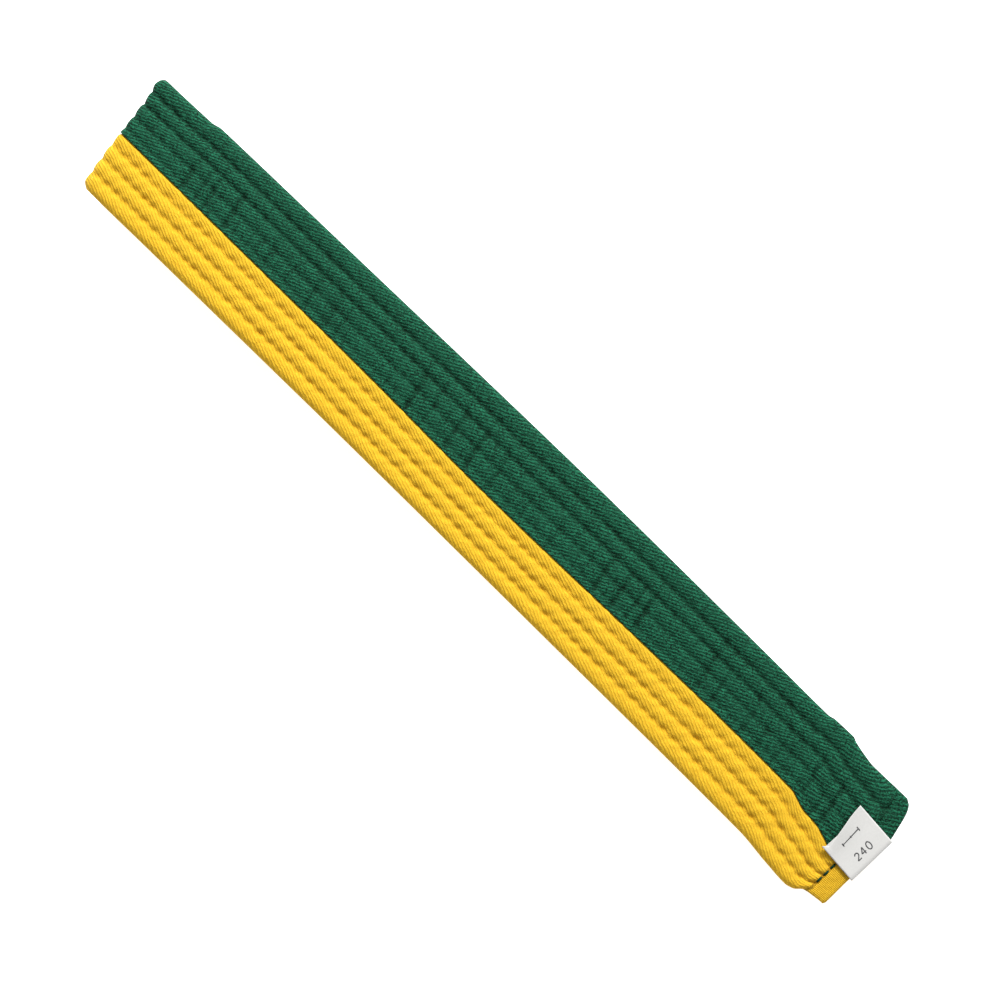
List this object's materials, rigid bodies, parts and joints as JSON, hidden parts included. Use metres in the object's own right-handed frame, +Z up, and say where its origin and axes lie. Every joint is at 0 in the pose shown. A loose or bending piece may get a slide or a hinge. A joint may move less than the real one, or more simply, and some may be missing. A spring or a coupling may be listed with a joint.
{
  "type": "martial arts belt",
  "caption": "Flat quilted cloth belt, green along one half of its width and yellow along the other, folded into a concertina with a satin size label on its free end.",
  "frame": {"origin": "centre of the folded stack's footprint, on the surface it lies on", "axes": "+X along the layers towards the labelled free end, +Y across the belt towards the green edge, +Z up through the stack"},
  "size_m": [0.308, 0.042, 0.0251],
  "materials": {
    "green_twill": "green cotton twill, matt",
    "yellow_twill": "golden yellow cotton twill, matt",
    "core_wadding": "undyed cotton wadding",
    "sewing_thread": "spun polyester sewing thread",
    "label_satin": "white satin, slight sheen"
  },
  "bodies": {
    "layer_1": {"layer_1_green_cover": "green_twill", "layer_1_yellow_cover": "yellow_twill", "layer_1_core": "core_wadding", "layer_1_stitching": "sewing_thread", "fold_1_green_cover": "green_twill", "fold_1_yellow_cover": "yellow_twill", "fold_1_core": "core_wadding", "end_stitching_bottom": "sewing_thread"},
    "layer_2": {"layer_2_green_cover": "green_twill", "layer_2_yellow_cover": "yellow_twill", "layer_2_core": "core_wadding", "layer_2_stitching": "sewing_thread", "fold_2_green_cover": "green_twill", "fold_2_yellow_cover": "yellow_twill", "fold_2_core": "core_wadding"},
    "layer_3": {"layer_3_green_cover": "green_twill", "layer_3_yellow_cover": "yellow_twill", "layer_3_core": "core_wadding", "layer_3_stitching": "sewing_thread", "fold_3_green_cover": "green_twill", "fold_3_yellow_cover": "yellow_twill", "fold_3_core": "core_wadding"},
    "layer_4": {"layer_4_green_cover": "green_twill", "layer_4_yellow_cover": "yellow_twill", "layer_4_core": "core_wadding", "layer_4_stitching": "sewing_thread", "fold_4_green_cover": "green_twill", "fold_4_yellow_cover": "yellow_twill", "fold_4_core": "core_wadding"},
    "layer_5": {"layer_5_green_cover": "green_twill", "layer_5_yellow_cover": "yellow_twill", "layer_5_core": "core_wadding", "layer_5_stitching": "sewing_thread", "fold_5_green_cover": "green_twill", "fold_5_yellow_cover": "yellow_twill", "fold_5_core": "core_wadding"},
    "layer_6": {"layer_6_green_cover": "green_twill", "layer_6_yellow_cover": "yellow_twill", "layer_6_core": "core_wadding", "layer_6_stitching": "sewing_thread", "fold_6_green_cover": "green_twill", "fold_6_yellow_cover": "yellow_twill", "fold_6_core": "core_wadding"},
    "layer_7": {"layer_7_green_cover": "green_twill", "layer_7_yellow_cover": "yellow_twill", "layer_7_core": "core_wadding", "layer_7_stitching": "sewing_thread", "fold_7_green_cover": "green_twill", "fold_7_yellow_cover": "yellow_twill", "fold_7_core": "core_wadding"},
    "layer_8": {"layer_8_green_cover": "green_twill", "layer_8_yellow_cover": "yellow_twill", "layer_8_core": "core_wadding", "layer_8_stitching": "sewing_thread", "end_stitching_top": "sewing_thread", "size_label_tail": "label_satin", "size_label_seam": "sewing_thread"},
    "size_label": {"size_label_flap": "label_satin"}
  },
  "joints": [
    {"name": "fold_1", "type": "hinge", "parent": "layer_1", "child": "layer_2", "pos_m": [-0.15005, 0, 0.00295], "axis": [0, -1, 0], "range_deg": [0, 179.9], "deforming": ["fold_1_green_cover", "fold_1_yellow_cover", "fold_1_core"]},
    {"name": "fold_2", "type": "hinge", "parent": "layer_2", "child": "layer_3", "pos_m": [0.15005, 0, 0.00605], "axis": [0, 1, 0], "range_deg": [0, 179.9], "deforming": ["fold_2_green_cover", "fold_2_yellow_cover", "fold_2_core"]},
    {"name": "fold_3", "type": "hinge", "parent": "layer_3", "child": "layer_4", "pos_m": [-0.15005, 0, 0.00915], "axis": [0, -1, 0], "range_deg": [0, 179.9], "deforming": ["fold_3_green_cover", "fold_3_yellow_cover", "fold_3_core"]},
    {"name": "fold_4", "type": "hinge", "parent": "layer_4", "child": "layer_5", "pos_m": [0.15005, 0, 0.01225], "axis": [0, 1, 0], "range_deg": [0, 179.9], "deforming": ["fold_4_green_cover", "fold_4_yellow_cover", "fold_4_core"]},
    {"name": "fold_5", "type": "hinge", "parent": "layer_5", "child": "layer_6", "pos_m": [-0.13605, 0, 0.01535], "axis": [0, -1, 0], "range_deg": [0, 179.9], "deforming": ["fold_5_green_cover", "fold_5_yellow_cover", "fold_5_core"]},
    {"name": "fold_6", "type": "hinge", "parent": "layer_6", "child": "layer_7", "pos_m": [0.14405, 0, 0.01845], "axis": [0, 1, 0], "range_deg": [0, 179.9], "deforming": ["fold_6_green_cover", "fold_6_yellow_cover", "fold_6_core"]},
    {"name": "fold_7", "type": "hinge", "parent": "layer_7", "child": "layer_8", "pos_m": [-0.15105, 0, 0.02155], "axis": [0, -1, 0], "range_deg": [0, 179.9], "deforming": ["fold_7_green_cover", "fold_7_yellow_cover", "fold_7_core"]},
    {"name": "label_flap", "type": "hinge", "parent": "layer_8", "child": "size_label", "pos_m": [0.15385, 0, 0.02465], "axis": [0, 1, 0], "range_deg": [0, 170]}
  ],
  "couplings": [
    {"joint": "fold_2", "follows": "fold_1", "ratio": 1},
    {"joint": "fold_3", "follows": "fold_1", "ratio": 1},
    {"joint": "fold_4", "follows": "fold_1", "ratio": 1},
    {"joint": "fold_5", "follows": "fold_1", "ratio": 1},
    {"joint": "fold_6", "follows": "fold_1", "ratio": 1}
  ]
}
